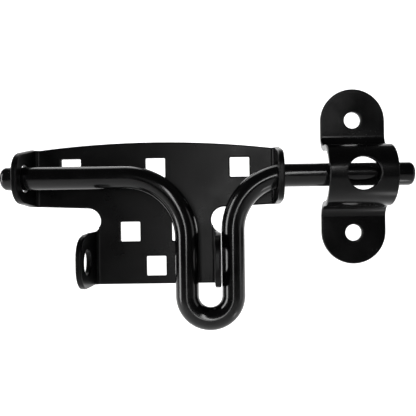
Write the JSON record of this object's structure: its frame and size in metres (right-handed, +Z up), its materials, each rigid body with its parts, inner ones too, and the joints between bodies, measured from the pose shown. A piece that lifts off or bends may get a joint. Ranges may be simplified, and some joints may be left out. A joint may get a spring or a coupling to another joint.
{
  "type": "gate slide bolt",
  "caption": "Padlockable slide bolt for a gate: a round bolt with a bent handle loop slides through an eared, stamped plate into a hat-shaped strike on the post.",
  "frame": {"origin": "on the mounting plane, at the plate's middle, level with the bolt's axis", "axes": "+X along the bolt towards the strike, +Y into the gate, +Z up"},
  "size_m": [0.2243, 0.0342, 0.1344],
  "materials": {
    "plate_coating": "gloss black coating on stamped steel",
    "bolt_coating": "gloss black coating on round steel bar",
    "strike_coating": "gloss black coating on bent steel strap"
  },
  "bodies": {
    "plate": {"latch_plate": "plate_coating"},
    "nose": {"bolt_nose": "bolt_coating"},
    "handle": {"bolt_handle": "bolt_coating"},
    "post_strike": {"strike": "strike_coating"}
  },
  "joints": [
    {"name": "bolt_slide", "type": "slide", "parent": "plate", "child": "nose", "axis": [1, 0, 0], "range_m": [0, 0.0015]},
    {"name": "handle_swing", "type": "hinge", "parent": "nose", "child": "handle", "pos_m": [0, -0.0178, 0], "axis": [-1, 0, 0], "range_deg": [-7, 188]},
    {"name": "strike_pull_off", "type": "slide", "parent": "plate", "child": "post_strike", "axis": [1, 0, 0], "range_m": [0, 0.06]}
  ]
}
